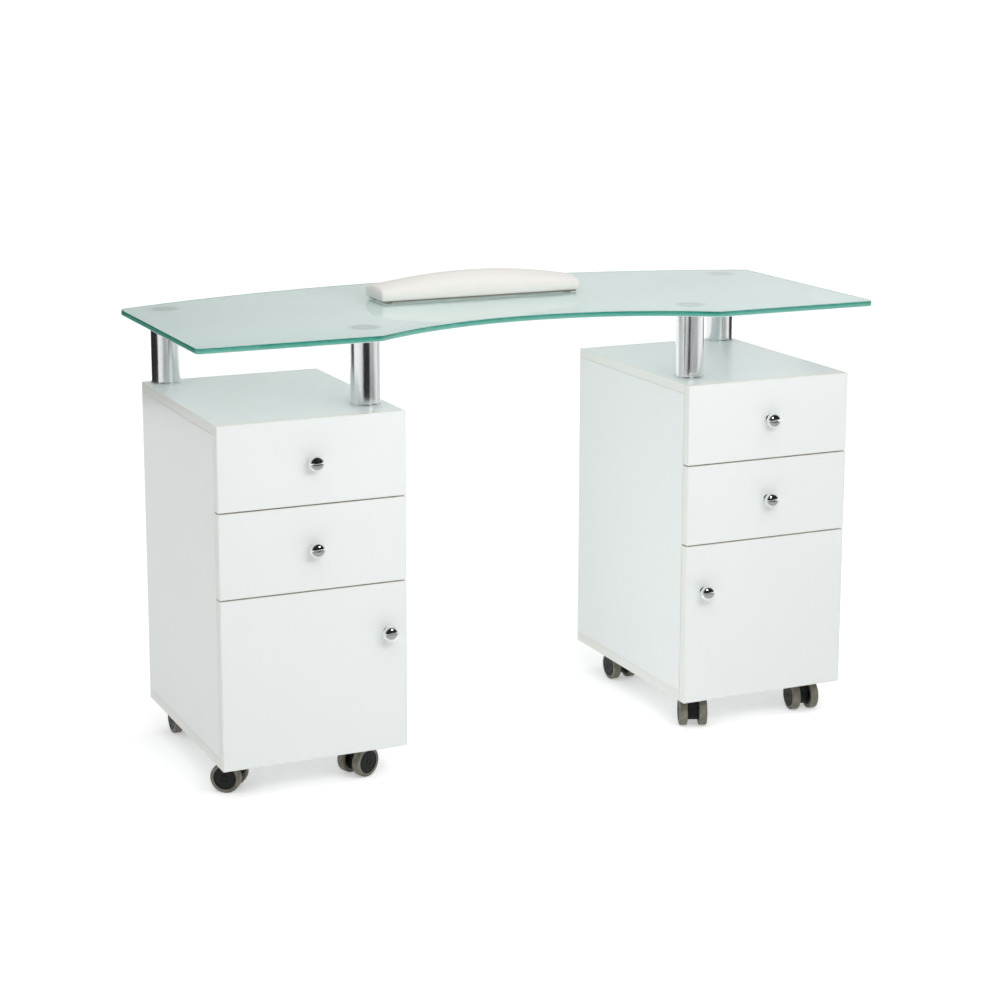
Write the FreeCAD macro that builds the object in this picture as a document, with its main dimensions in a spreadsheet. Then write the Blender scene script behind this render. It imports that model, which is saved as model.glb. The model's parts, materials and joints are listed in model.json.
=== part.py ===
# Manicure table: a frosted glass top on four aluminium posts, carried by two
# white pedestal cabinets on twin-wheel casters, with a loose padded armrest.
#
# Millimetres, +Z up. The origin is on the floor, under the middle of the table.
# +X runs to the technician's right when facing the drawer fronts from -Y.
# Depths written as "front plus something" are measured from the face of the
# drawer fronts towards the client's side (+Y).

import FreeCAD
import Part
import Sketcher
import os
import sys

DIMENSIONS = [
    # alias, value, meaning
    ("origin_to_front", 249, "origin to the face of the drawer fronts"),
    ("glass_half_width", 600, "glass top, half its width"),
    ("glass_thickness", 10, "glass top"),
    ("glass_overhang", 19, "glass in front of the drawer fronts"),
    ("glass_corner_depth", 403, "back corners of the glass, from the fronts"),
    ("glass_back_depth", 523, "middle of the curved back edge, from the fronts"),
    ("recess_half_width", 300, "technician's recess, half its width"),
    ("recess_depth", 92, "technician's recess, into the glass"),
    ("glass_corner_radius", 8, "upright corners of the glass"),
    ("glass_arris", 1, "ground arris round both faces of the glass"),
    ("post_height", 116, "cabinet top to the underside of the glass"),
    ("post_radius", 24, "post tube, outside"),
    ("post_wall", 2, "post tube wall"),
    ("post_flange_radius", 25, "post foot flange"),
    ("post_flange_thickness", 4, "post foot flange"),
    ("post_disc_thickness", 5, "disc bonded under the glass"),
    ("post_spigot_length", 10, "spigot of disc and flange inside the tube"),
    ("post_fit", 0.2, "gap between spigot and tube"),
    ("post_bolt_radius", 4, "M8 post bolt"),
    ("post_bolt_clearance", 0.5, "post bolt in the cabinet top"),
    ("post_bolt_head_radius", 7, "post bolt head"),
    ("post_bolt_head_height", 5, "post bolt head"),
    ("inner_post_x", 294.5, "inner posts, from the middle"),
    ("inner_post_depth", 73, "inner posts, from the fronts"),
    ("outer_post_x", 531, "outer posts, from the middle"),
    ("outer_post_depth", 383, "outer posts, from the fronts"),
    ("floor_gap", 55, "floor to the underside of a cabinet"),
    ("cabinet_inner_x", 255, "knee-space face of a cabinet"),
    ("cabinet_width", 311, "cabinet"),
    ("cabinet_height", 553, "cabinet"),
    ("cabinet_depth", 408, "cabinet with its fronts"),
    ("board", 16, "melamine-faced board"),
    ("edge_radius", 0.8, "edging tape, rounded over"),
    ("front_gap", 2, "gap between one front and the next"),
    ("buffer_gap", 1, "gap between a closed front and the carcass"),
    ("drawer_front_height", 136.5, "drawer front"),
    ("drawer_box_width", 254, "drawer box, outside"),
    ("drawer_box_height", 90, "drawer box"),
    ("drawer_box_length", 350, "drawer box and its runners"),
    ("drawer_box_lift", 14, "bottom of a drawer front to its box"),
    ("drawer_side", 12, "drawer box boards"),
    ("drawer_bottom", 4, "drawer bottom"),
    ("runner_height", 45, "fixed runner member"),
    ("runner_width", 8, "fixed runner member"),
    ("runner_wall", 1.2, "runner sheet metal"),
    ("runner_play", 2.6, "height between fixed and moving member"),
    ("runner_reach", 1.4, "moving member clear of the fixed web"),
    ("runner_lift", 22, "bottom of the drawer box to the runner middle"),
    ("knob_projection", 25, "knob, in front of the fronts"),
    ("knob_radius", 13, "knob head"),
    ("knob_neck_radius", 5, "knob neck"),
    ("knob_foot_radius", 7.5, "knob foot"),
    ("knob_foot_height", 2, "rim of the knob foot"),
    ("knob_foot_taper", 2, "slope from the foot's rim to the neck"),
    ("knob_head_length", 17, "knob head, from the tip to the neck"),
    ("knob_stud_radius", 2, "M4 knob stud"),
    ("knob_stud_clearance", 0.15, "knob stud in its hole"),
    ("knob_stud_length", 14, "knob stud"),
    ("door_knob_inset", 34, "door knob to the door's free edge"),
    ("door_knob_drop", 80, "door knob below the top of the door"),
    ("hinge_inset", 60, "hinge middle to the door's top or bottom"),
    ("hinge_cup_radius", 17.5, "hinge cup"),
    ("hinge_cup_depth", 11, "hinge cup in the door"),
    ("hinge_cup_setback", 22, "hinge cup middle to the door's edge"),
    ("hinge_cup_wall", 1, "hinge cup wall"),
    ("hinge_plate_length", 34, "hinge mounting plate"),
    ("hinge_plate_height", 40, "hinge mounting plate"),
    ("hinge_plate_thickness", 2.5, "hinge mounting plate"),
    ("hinge_arm_length", 58, "hinge arm"),
    ("hinge_arm_height", 14, "hinge arm"),
    ("hinge_arm_width", 11, "hinge arm"),
    ("hinge_arm_setback", 19, "tip of the hinge arm, from the fronts"),
    ("caster_side_inset", 48.5, "caster swivel to a cabinet side"),
    ("caster_end_inset", 60, "caster swivel to the front or back"),
    ("caster_plate", 46, "caster plate, square"),
    ("caster_plate_thickness", 2.5, "caster plate"),
    ("kingpin_radius", 4, "kingpin"),
    ("kingpin_length", 14, "kingpin below its plate"),
    ("running_fit", 0.05, "radial gap round kingpin and axle"),
    ("caster_trail", 20, "swivel to axle"),
    ("fork_width", 18, "caster body between the wheels"),
    ("fork_clearance", 0.7, "top of the caster body to its plate"),
    ("fork_nose", 11, "caster body ahead of the swivel"),
    ("fork_nose_level", 36, "underside of the caster body's nose"),
    ("fork_low_level", 11, "lowest part of the caster body"),
    ("fork_low_lead", 6, "lowest part of the caster body, ahead of the axle"),
    ("fork_low_trail", 8, "lowest part of the caster body, behind the axle"),
    ("fork_tail", 12, "caster body behind the axle"),
    ("fork_tail_rise", 5, "slope from the lowest part up to the tail"),
    ("fork_shoulder", 6, "bevel at the top of the tail"),
    ("dimple_radius", 1.8, "moulded dimple in the tail"),
    ("dimple_depth", 2, "moulded dimple in the tail"),
    ("dimple_lift", 6, "moulded dimple above the axle"),
    ("wheel_radius", 25, "caster wheel"),
    ("wheel_width", 14, "caster wheel"),
    ("wheel_gap", 20, "between the two wheels"),
    ("tread_depth", 6, "soft tread"),
    ("tread_chamfer", 1.5, "edge of the tread"),
    ("hub_inset", 0.5, "hub disc inside the tread"),
    ("axle_radius", 3, "wheel axle"),
    ("screw_radius", 1.8, "caster plate screw"),
    ("screw_length", 14, "caster plate screw"),
    ("screw_pitch", 32, "caster plate screws, apart"),
    ("armrest_length", 376, "armrest"),
    ("armrest_width", 88, "armrest"),
    ("armrest_depth", 312, "middle of the armrest, from the fronts"),
    ("armrest_edge", 17, "upright side of the cushion"),
    ("armrest_end_crown", 5, "rise of the cushion at its ends"),
    ("armrest_crown", 23, "rise of the cushion at its middle"),
    ("armrest_board", 3, "armrest base board"),
    ("armrest_board_inset", 8, "base board inside the cushion's outline"),
    ("armrest_foot", 1.5, "armrest foot"),
    ("armrest_foot_radius", 7, "armrest foot"),
    ("armrest_foot_inset", 20, "armrest foot to the cushion's ends"),
]

# How far each caster has swivelled, in degrees: 0 trails its wheels towards +Y.
CASTER_YAWS = {
    "left_front_outer": 53,
    "left_front_inner": 115,
    "left_back_outer": 0,
    "left_back_inner": 200,
    "right_front_inner": 157,
    "right_front_outer": 172,
    "right_back_inner": 180,
    "right_back_outer": 215,
}

SIDES = {"left": -1, "right": 1}

# The knob head's outline: how far behind the tip, and its share of the full radius.
KNOB_OUTLINE = [
    (0, 0.42),
    (1.3, 0.75),
    (4.2, 0.96),
    (7.5, 1.0),
    (11, 0.9),
    (14.5, 0.6),
]

# An edge shorter than this in a direction counts as having no length in it.
EDGE_TOLERANCE = 0.01

# Derived sizes and levels, written as expressions on the sheet.
CABINET_TOP = "(dims.floor_gap + dims.cabinet_height)"
GLASS_UNDERSIDE = f"({CABINET_TOP} + dims.post_height)"
GLASS_TOP = f"({GLASS_UNDERSIDE} + dims.glass_thickness)"
CABINET_OUTER_X = "(dims.cabinet_inner_x + dims.cabinet_width)"
CABINET_MIDDLE_X = "(dims.cabinet_inner_x + dims.cabinet_width / 2)"
CARCASS_FRONT = "(dims.board + dims.buffer_gap)"
CARCASS_DEPTH = f"(dims.cabinet_depth - {CARCASS_FRONT})"
SIDE_HEIGHT = "(dims.cabinet_height - 2 * dims.board)"
BETWEEN_SIDES = "(dims.cabinet_width - 2 * dims.board)"
FRONT_STEP = "(dims.drawer_front_height + dims.front_gap)"
DOOR_HEIGHT = f"(dims.cabinet_height - 2 * {FRONT_STEP})"
DRAWER_BOTTOMS = {
    "upper": f"({CABINET_TOP} - dims.drawer_front_height)",
    "lower": f"({CABINET_TOP} - dims.drawer_front_height - {FRONT_STEP})",
}
MID_SHELF_Z = f"(dims.floor_gap + {DOOR_HEIGHT} + dims.front_gap / 2 - dims.board / 2)"
HINGE_LEVELS = {
    "lower": "(dims.floor_gap + dims.hinge_inset)",
    "upper": f"(dims.floor_gap + {DOOR_HEIGHT} - dims.hinge_inset)",
}
POSTS = {
    "inner": ("dims.inner_post_x", "dims.inner_post_depth"),
    "outer": ("dims.outer_post_x", "dims.outer_post_depth"),
}
ALONG_Y = FreeCAD.Rotation(FreeCAD.Vector(1, 0, 0), FreeCAD.Vector(0, 1, 0))
AGAINST_Y = FreeCAD.Rotation(FreeCAD.Vector(1, 0, 0), FreeCAD.Vector(0, -1, 0))
ALONG_Z = FreeCAD.Rotation(FreeCAD.Vector(1, 0, 0), FreeCAD.Vector(0, 0, 1))
CYLINDER_ALONG_X = FreeCAD.Rotation(FreeCAD.Vector(0, 0, 1), FreeCAD.Vector(1, 0, 0))
CYLINDER_ALONG_Y = FreeCAD.Rotation(FreeCAD.Vector(0, 0, 1), FreeCAD.Vector(0, 1, 0))
NO_TURN = FreeCAD.Rotation()

doc = FreeCAD.newDocument("manicure_table")
nodes = []


def make_sheet():
    """Write the driving dimensions into the sheet that every piece is bound to."""
    sheet = doc.addObject("Spreadsheet::Sheet", "dims")
    for row, (alias, value, meaning) in enumerate(DIMENSIONS, start=1):
        sheet.set(f"A{row}", meaning)
        sheet.set(f"B{row}", str(value))
        sheet.setAlias(f"B{row}", alias)
    doc.recompute()
    return sheet


sheet = make_sheet()


def value_of(expression):
    """The number that an expression on the sheet has now."""
    return float(sheet.evalExpression(str(expression)))


def from_front(depth):
    """The Y position of something this far behind the face of the drawer fronts."""
    return f"({depth}) - dims.origin_to_front"


def bind(thing, **expressions):
    for name, expression in expressions.items():
        thing.setExpression(name, str(expression))


def place(thing, x, y, z, turn=NO_TURN):
    """Give a piece its placement, with the position bound to the sheet."""
    thing.Placement = FreeCAD.Placement(FreeCAD.Vector(), turn)
    for axis, expression in zip("xyz", (x, y, z)):
        thing.setExpression(f"Placement.Base.{axis}", str(expression))


def node(thing, label):
    """Name a finished piece as a sub-part that gets a file of its own."""
    thing.Label = label
    nodes.append(thing)
    return thing


def group(label, pieces):
    """One sub-part of several separate solids."""
    bundle = doc.addObject("Part::Compound", label)
    bundle.Links = pieces
    return node(bundle, label)


def box(name, size, corner):
    piece = doc.addObject("Part::Box", name)
    bind(piece, Length=size[0], Width=size[1], Height=size[2])
    place(piece, *corner)
    return piece


def cylinder(name, radius, height, base, turn=NO_TURN):
    piece = doc.addObject("Part::Cylinder", name)
    bind(piece, Radius=radius, Height=height)
    place(piece, *base, turn)
    return piece


def board(name, size, corner):
    """A melamine board with its edges just rounded over."""
    body = doc.addObject("PartDesign::Body", name)
    slab = body.newObject("PartDesign::AdditiveBox", f"{name}_slab")
    bind(slab, Length=size[0], Width=size[1], Height=size[2])
    doc.recompute()
    edges = body.newObject("PartDesign::Fillet", f"{name}_edges")
    edges.Base = (slab, [""])
    edges.UseAllEdges = True
    bind(edges, Radius="dims.edge_radius")
    place(body, *corner)
    return body


def drill(body, name, radius, depth, start, turn=NO_TURN):
    """A round hole in a body, from a point in the body's own frame."""
    hole = body.newObject("PartDesign::SubtractiveCylinder", name)
    bind(hole, Radius=radius, Height=depth)
    place(hole, *start, turn)
    return hole


def origin_plane(body, role):
    return next(plane for plane in body.Origin.OriginFeatures if plane.Role == role)


def new_sketch(body, name, role):
    sketch = body.newObject("Sketcher::SketchObject", name)
    sketch.AttachmentSupport = [(origin_plane(body, role), "")]
    sketch.MapMode = "FlatFace"
    return sketch


def pin_corner(sketch, line, end, label, point):
    """Bind one end of a line to two expressions."""
    for kind, axis, expression in zip(("DistanceX", "DistanceY"), "xy", point):
        number = value_of(expression)
        index = sketch.addConstraint(Sketcher.Constraint(kind, -1, 1, line, end, number))
        sketch.renameConstraint(index, f"{label}_{axis}")
        sketch.setExpression(f"Constraints.{label}_{axis}", str(expression))


def polygon_sketch(body, name, role, points):
    """A closed outline of straight lines whose corners are bound to the sheet."""
    sketch = new_sketch(body, name, role)
    corners = [FreeCAD.Vector(value_of(x), value_of(y), 0) for x, y in points]
    count = len(points)
    for index in range(count):
        line = Part.LineSegment(corners[index], corners[(index + 1) % count])
        sketch.addGeometry(line, False)
    for index in range(count):
        following = (index + 1) % count
        sketch.addConstraint(Sketcher.Constraint("Coincident", index, 2, following, 1))
        pin_corner(sketch, index, 1, f"corner{index}", points[index])
    return sketch


def extrude(body, name, sketch, length, both_ways=False):
    pad = body.newObject("PartDesign::Pad", name)
    pad.Profile = sketch
    bind(pad, Length=length)
    if both_ways:
        pad.Midplane = True
    return pad


def turned(name, profile):
    """A body turned about its own X axis from (along, radius) corners."""
    body = doc.addObject("PartDesign::Body", name)
    sketch = polygon_sketch(body, f"{name}_profile", "XY_Plane", profile)
    spin = body.newObject("PartDesign::Revolution", f"{name}_turning")
    spin.Profile = sketch
    spin.ReferenceAxis = (sketch, ["H_Axis"])
    spin.Angle = 360
    return body


def mirrored_x(side, low, high):
    """Lowest X and width of something that spans low to high on the right side."""
    start = low if side == "right" else f"-({high})"
    return start, f"({high}) - ({low})"


def pin_arc(sketch, arc, label, radius):
    index = sketch.addConstraint(Sketcher.Constraint("Radius", arc, value_of(radius)))
    sketch.renameConstraint(index, label)
    sketch.setExpression(f"Constraints.{label}", radius)


def arc_radius(half_chord, rise):
    return f"({half_chord} ^ 2 + {rise} ^ 2) / (2 * {rise})"


def make_glass():
    """The glass top: straight sides, a bowed back edge and a hollowed front edge."""
    body = doc.addObject("PartDesign::Body", "glass_top")
    sketch = new_sketch(body, "glass_outline", "XY_Plane")
    back_rise = "(dims.glass_back_depth - dims.glass_corner_depth)"
    half, recess = "dims.glass_half_width", "dims.recess_half_width"
    front, corner = "-dims.glass_overhang", "dims.glass_corner_depth"
    corners = [
        (f"-{half}", front),
        (f"-{recess}", front),
        (recess, front),
        (half, front),
        (half, corner),
        (f"-{half}", corner),
    ]
    spots = [FreeCAD.Vector(value_of(x), value_of(y), 0) for x, y in corners]
    recess_top = FreeCAD.Vector(0, value_of(f"dims.recess_depth + {front}"), 0)
    back_top = FreeCAD.Vector(0, value_of("dims.glass_back_depth"), 0)
    front_left = sketch.addGeometry(Part.LineSegment(spots[0], spots[1]), False)
    hollow = sketch.addGeometry(Part.Arc(spots[1], recess_top, spots[2]), False)
    front_right = sketch.addGeometry(Part.LineSegment(spots[2], spots[3]), False)
    right = sketch.addGeometry(Part.LineSegment(spots[3], spots[4]), False)
    bow = sketch.addGeometry(Part.Arc(spots[4], back_top, spots[5]), False)
    left = sketch.addGeometry(Part.LineSegment(spots[5], spots[0]), False)
    # The hollow's arc runs anticlockwise, so it starts at its right-hand end.
    joins = [
        (front_left, 2, hollow, 2),
        (hollow, 1, front_right, 1),
        (front_right, 2, right, 1),
        (right, 2, bow, 1),
        (bow, 2, left, 1),
        (left, 2, front_left, 1),
    ]
    for join in joins:
        sketch.addConstraint(Sketcher.Constraint("Coincident", *join))
    pinned = [(front_left, 1), (front_left, 2), (front_right, 1), (right, 1), (bow, 1), (left, 1)]
    for index, (line, end) in enumerate(pinned):
        pin_corner(sketch, line, end, f"corner{index}", corners[index])
    pin_arc(sketch, hollow, "recess_radius", arc_radius(recess, "dims.recess_depth"))
    pin_arc(sketch, bow, "back_radius", arc_radius(half, back_rise))
    plate = extrude(body, "glass_plate", sketch, "dims.glass_thickness")
    doc.recompute()
    rounded = body.newObject("PartDesign::Fillet", "glass_corners")
    rounded.Base = (plate, upright_edges(plate.Shape))
    bind(rounded, Radius="dims.glass_corner_radius")
    doc.recompute()
    arris = body.newObject("PartDesign::Chamfer", "glass_ground_arris")
    arris.Base = (rounded, flat_edges(rounded.Shape))
    bind(arris, Size="dims.glass_arris")
    place(body, "0", from_front("0"), GLASS_UNDERSIDE)
    node(body, "glass_top")


def upright_edges(shape):
    """Names of the vertical edges."""
    return [
        f"Edge{index}"
        for index, edge in enumerate(shape.Edges, start=1)
        if edge.BoundBox.XLength + edge.BoundBox.YLength < EDGE_TOLERANCE
    ]


def flat_edges(shape):
    """Names of the edges that lie in one horizontal plane."""
    return [
        f"Edge{index}"
        for index, edge in enumerate(shape.Edges, start=1)
        if edge.BoundBox.ZLength < EDGE_TOLERANCE
    ]


def make_posts():
    """Post tubes, the flanges and discs at their ends, and their bolts."""
    fittings = []
    bolts = []
    tube_base = f"{CABINET_TOP} + dims.post_flange_thickness"
    tube_length = "dims.post_height - dims.post_flange_thickness - dims.post_disc_thickness"
    bore = "(dims.post_radius - dims.post_wall)"
    spigot = f"({bore} - dims.post_fit)"
    for side, sign in SIDES.items():
        tubes = []
        for which, (x, depth) in POSTS.items():
            name = f"{side}_{which}"
            spot = (f"{sign} * {x}", from_front(depth))
            tube = turned(
                f"{name}_tube",
                [
                    ("0", bore),
                    (tube_length, bore),
                    (tube_length, "dims.post_radius"),
                    ("0", "dims.post_radius"),
                ],
            )
            place(tube, *spot, tube_base, ALONG_Z)
            tubes.append(tube)
            flange_end = "dims.post_flange_thickness"
            spigot_end = "(dims.post_flange_thickness + dims.post_spigot_length)"
            flange = turned(
                f"{name}_flange",
                [
                    ("0", "dims.post_bolt_radius"),
                    (spigot_end, "dims.post_bolt_radius"),
                    (spigot_end, spigot),
                    (flange_end, spigot),
                    (flange_end, "dims.post_flange_radius"),
                    ("0", "dims.post_flange_radius"),
                ],
            )
            place(flange, *spot, CABINET_TOP, ALONG_Z)
            disc_end = "dims.post_disc_thickness"
            disc = turned(
                f"{name}_disc",
                [
                    ("-dims.post_spigot_length", "0"),
                    (disc_end, "0"),
                    (disc_end, "dims.post_radius"),
                    ("0", "dims.post_radius"),
                    ("0", spigot),
                    ("-dims.post_spigot_length", spigot),
                ],
            )
            place(disc, *spot, f"{GLASS_UNDERSIDE} - dims.post_disc_thickness", ALONG_Z)
            fittings += [flange, disc]
            bolts.append(make_post_bolt(name, spot, spigot_end))
        group(f"{side}_posts", tubes)
    group("post_flanges_and_discs", fittings)
    return bolts


def make_post_bolt(name, spot, reach):
    """A bolt up through the cabinet top into a post's foot flange."""
    under_board = "-dims.board"
    head_bottom = "(-dims.board - dims.post_bolt_head_height)"
    bolt = turned(
        f"{name}_bolt",
        [
            (head_bottom, "0"),
            (reach, "0"),
            (reach, "dims.post_bolt_radius"),
            (under_board, "dims.post_bolt_radius"),
            (under_board, "dims.post_bolt_head_radius"),
            (head_bottom, "dims.post_bolt_head_radius"),
        ],
    )
    place(bolt, *spot, CABINET_TOP, ALONG_Z)
    return bolt


def make_carcass(side, sign):
    """The five boards of one pedestal: the top and bottom cap the sides."""
    whole_x, whole_width = mirrored_x(side, "dims.cabinet_inner_x", CABINET_OUTER_X)
    inner_edge = "(dims.cabinet_inner_x + dims.board)"
    outer_edge = f"({CABINET_OUTER_X} - dims.board)"
    front = from_front(CARCASS_FRONT)
    cap = (whole_width, CARCASS_DEPTH, "dims.board")
    top_z = f"{CABINET_TOP} - dims.board"
    top = board(f"{side}_top_panel", cap, (whole_x, front, top_z))
    for which, (x, depth) in POSTS.items():
        hole_radius = "dims.post_bolt_radius + dims.post_bolt_clearance"
        across = f"{sign} * {x} - ({whole_x})"
        start = (across, f"{depth} - {CARCASS_FRONT}", "0")
        drill(top, f"{side}_{which}_bolt_hole", hole_radius, "dims.board", start)
    node(top, f"{side}_top_panel")
    bottom = board(f"{side}_bottom_panel", cap, (whole_x, front, "dims.floor_gap"))
    node(bottom, f"{side}_bottom_panel")
    side_z = "dims.floor_gap + dims.board"
    for which, low, high in (
        ("inner", "dims.cabinet_inner_x", inner_edge),
        ("outer", outer_edge, CABINET_OUTER_X),
    ):
        x, width = mirrored_x(side, low, high)
        size = (width, CARCASS_DEPTH, SIDE_HEIGHT)
        name = f"{side}_{which}_side_panel"
        node(board(name, size, (x, front, side_z)), name)
    x, width = mirrored_x(side, inner_edge, outer_edge)
    back = from_front("dims.cabinet_depth - dims.board")
    name = f"{side}_back_panel"
    node(board(name, (width, "dims.board", SIDE_HEIGHT), (x, back, side_z)), name)


def make_mid_shelves():
    """The fixed shelf between the drawers and the door compartment."""
    shelves = []
    depth = f"{CARCASS_DEPTH} - dims.board"
    for side in SIDES:
        inner_edge = "dims.cabinet_inner_x + dims.board"
        x, width = mirrored_x(side, inner_edge, f"{CABINET_OUTER_X} - dims.board")
        corner = (x, from_front(CARCASS_FRONT), MID_SHELF_Z)
        shelves.append(board(f"{side}_mid_shelf", (width, depth, "dims.board"), corner))
    group("mid_shelves", shelves)


def channel(name, facing, width, height, placement):
    """A rolled C section lying along Y; facing is +1 if it opens towards +X."""
    body = doc.addObject("PartDesign::Body", name)
    wall = "dims.runner_wall"
    outline = [
        ("0", "0"),
        (width, "0"),
        (width, wall),
        (wall, wall),
        (wall, f"{height} - {wall}"),
        (width, f"{height} - {wall}"),
        (width, height),
        ("0", height),
    ]
    points = [(f"{facing} * ({x})", y) for x, y in outline]
    sketch = polygon_sketch(body, f"{name}_section", "XZ_Plane", points)
    pad = extrude(body, f"{name}_length", sketch, "dims.drawer_box_length")
    pad.Reversed = True
    place(body, *placement)
    return body


def make_drawer_rails():
    """The fixed runner members on the cabinet sides, two to a drawer."""
    rails = []
    for side, sign in SIDES.items():
        for level, front_bottom in DRAWER_BOTTOMS.items():
            middle = f"{front_bottom} + dims.drawer_box_lift + dims.runner_lift"
            for hand in (-1, 1):
                wall_x = f"{sign} * {CABINET_MIDDLE_X} + {hand} * {BETWEEN_SIDES} / 2"
                corner = (
                    wall_x,
                    from_front(CARCASS_FRONT),
                    f"{middle} - dims.runner_height / 2",
                )
                name = f"{side}_{level}_rail_{'right' if hand > 0 else 'left'}"
                rails.append(channel(name, -hand, "dims.runner_width", "dims.runner_height", corner))
    group("drawer_runner_rails", rails)


def make_slides(name, sign, middle):
    """The moving runner members, screwed to the sides of a drawer box."""
    slides = []
    height = "(dims.runner_height - 2 * dims.runner_wall - 2 * dims.runner_play)"
    gap = f"(({BETWEEN_SIDES} - dims.drawer_box_width) / 2)"
    width = f"({gap} - dims.runner_wall - dims.runner_reach)"
    for hand in (-1, 1):
        side_x = f"{sign} * {CABINET_MIDDLE_X} + {hand} * dims.drawer_box_width / 2"
        corner = (side_x, from_front(CARCASS_FRONT), f"{middle} - {height} / 2")
        piece = f"{name}_slide_{'right' if hand > 0 else 'left'}"
        slides.append(channel(piece, hand, width, height, corner))
    group(f"{name}_slides", slides)


def make_knob(label, x, z):
    """A turned knob with its stud, pointing out of the front along -Y."""
    tip = "dims.knob_projection"
    head = [(f"{tip} - {back}", f"{share} * dims.knob_radius") for back, share in KNOB_OUTLINE]
    neck = [
        (f"{tip} - dims.knob_head_length", "dims.knob_neck_radius"),
        ("dims.knob_foot_height + dims.knob_foot_taper", "dims.knob_neck_radius"),
    ]
    foot = [
        ("dims.knob_foot_height", "dims.knob_foot_radius"),
        ("0", "dims.knob_foot_radius"),
    ]
    stud = [
        ("0", "dims.knob_stud_radius"),
        ("-dims.knob_stud_length", "dims.knob_stud_radius"),
        ("-dims.knob_stud_length", "0"),
    ]
    knob = turned(f"{label}_turned", [(tip, "0")] + head + neck + foot + stud)
    place(knob, x, from_front("0"), z, AGAINST_Y)
    node(knob, label)


def drill_for_knob(front, name, x, z):
    """The stud's hole, right through a front."""
    radius = "dims.knob_stud_radius + dims.knob_stud_clearance"
    drill(front, f"{name}_knob_hole", radius, "dims.board", (x, "0", z), CYLINDER_ALONG_Y)


def make_drawer(side, sign, level):
    """One drawer: its front and knob, a box of five boards and two slides."""
    name = f"{side}_{level}_drawer"
    bottom = DRAWER_BOTTOMS[level]
    middle_x = f"{sign} * {CABINET_MIDDLE_X}"
    whole_x, whole_width = mirrored_x(side, "dims.cabinet_inner_x", CABINET_OUTER_X)
    size = (whole_width, "dims.board", "dims.drawer_front_height")
    front = board(f"{name}_front", size, (whole_x, from_front("0"), bottom))
    drill_for_knob(front, name, "dims.cabinet_width / 2", "dims.drawer_front_height / 2")
    node(front, f"{name}_front")
    make_knob(f"{name}_knob", middle_x, f"{bottom} + dims.drawer_front_height / 2")
    make_drawer_box(name, middle_x, f"{bottom} + dims.drawer_box_lift")
    runner_middle = f"{bottom} + dims.drawer_box_lift + dims.runner_lift"
    make_slides(name, sign, runner_middle)


def make_drawer_box(name, middle_x, base):
    """Two sides, an inner front, a back and a bottom let in between them."""
    thick, height = "dims.drawer_side", "dims.drawer_box_height"
    width, length = "dims.drawer_box_width", "dims.drawer_box_length"
    left_x = f"{middle_x} - {width} / 2"
    inner_width = f"{width} - 2 * {thick}"
    inner_x = f"{left_x} + {thick}"
    front_y = from_front("dims.board")
    back_y = f"{front_y} + {length} - {thick}"
    side_size = (thick, length, height)
    end_size = (inner_width, thick, height)
    floor_size = (inner_width, f"{length} - 2 * {thick}", "dims.drawer_bottom")
    floor_z = f"{base} + dims.drawer_bottom"
    pieces = [
        box(f"{name}_left_board", side_size, (left_x, front_y, base)),
        box(f"{name}_right_board", side_size, (f"{left_x} + {width} - {thick}", front_y, base)),
        box(f"{name}_inner_front", end_size, (inner_x, front_y, base)),
        box(f"{name}_back_board", end_size, (inner_x, back_y, base)),
        box(f"{name}_floor", floor_size, (inner_x, f"{front_y} + {thick}", floor_z)),
    ]
    group(f"{name}_box", pieces)


def make_door(side, sign):
    """One door with its knob near the knee space and its hinge cups."""
    name = f"{side}_door"
    whole_x, whole_width = mirrored_x(side, "dims.cabinet_inner_x", CABINET_OUTER_X)
    size = (whole_width, "dims.board", DOOR_HEIGHT)
    panel = board(f"{name}_panel", size, (whole_x, from_front("0"), "dims.floor_gap"))
    knob_x = f"{sign} * (dims.cabinet_inner_x + dims.door_knob_inset)"
    knob_up = f"{DOOR_HEIGHT} - dims.door_knob_drop"
    drill_for_knob(panel, name, f"{knob_x} - ({whole_x})", knob_up)
    cups = []
    cup_x = f"{sign} * ({CABINET_OUTER_X} - dims.hinge_cup_setback)"
    for level, z in HINGE_LEVELS.items():
        start = (
            f"{cup_x} - ({whole_x})",
            "dims.board - dims.hinge_cup_depth",
            f"{z} - dims.floor_gap",
        )
        bore = f"{name}_{level}_cup_bore"
        drill(panel, bore, "dims.hinge_cup_radius", "dims.hinge_cup_depth", start, CYLINDER_ALONG_Y)
        cups.append(make_hinge_cup(f"{name}_{level}_cup", sign, cup_x, z))
    node(panel, f"{name}_panel")
    make_knob(f"{name}_knob", knob_x, f"dims.floor_gap + {knob_up}")
    group(f"{name}_hinge_cups", cups)


def make_hinge_cup(name, sign, x, z):
    """A pressed cup let into the back of the door, open to the cabinet."""
    radius, wall = "dims.hinge_cup_radius", "dims.hinge_cup_wall"
    depth = "dims.hinge_cup_depth"
    cup = turned(
        f"{name}_pressing",
        [
            ("0", "0"),
            (wall, "0"),
            (wall, f"{radius} - {wall}"),
            (depth, f"{radius} - {wall}"),
            (depth, radius),
            ("0", radius),
        ],
    )
    place(cup, x, from_front(f"dims.board - {depth}"), z, ALONG_Y)
    return cup


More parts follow.
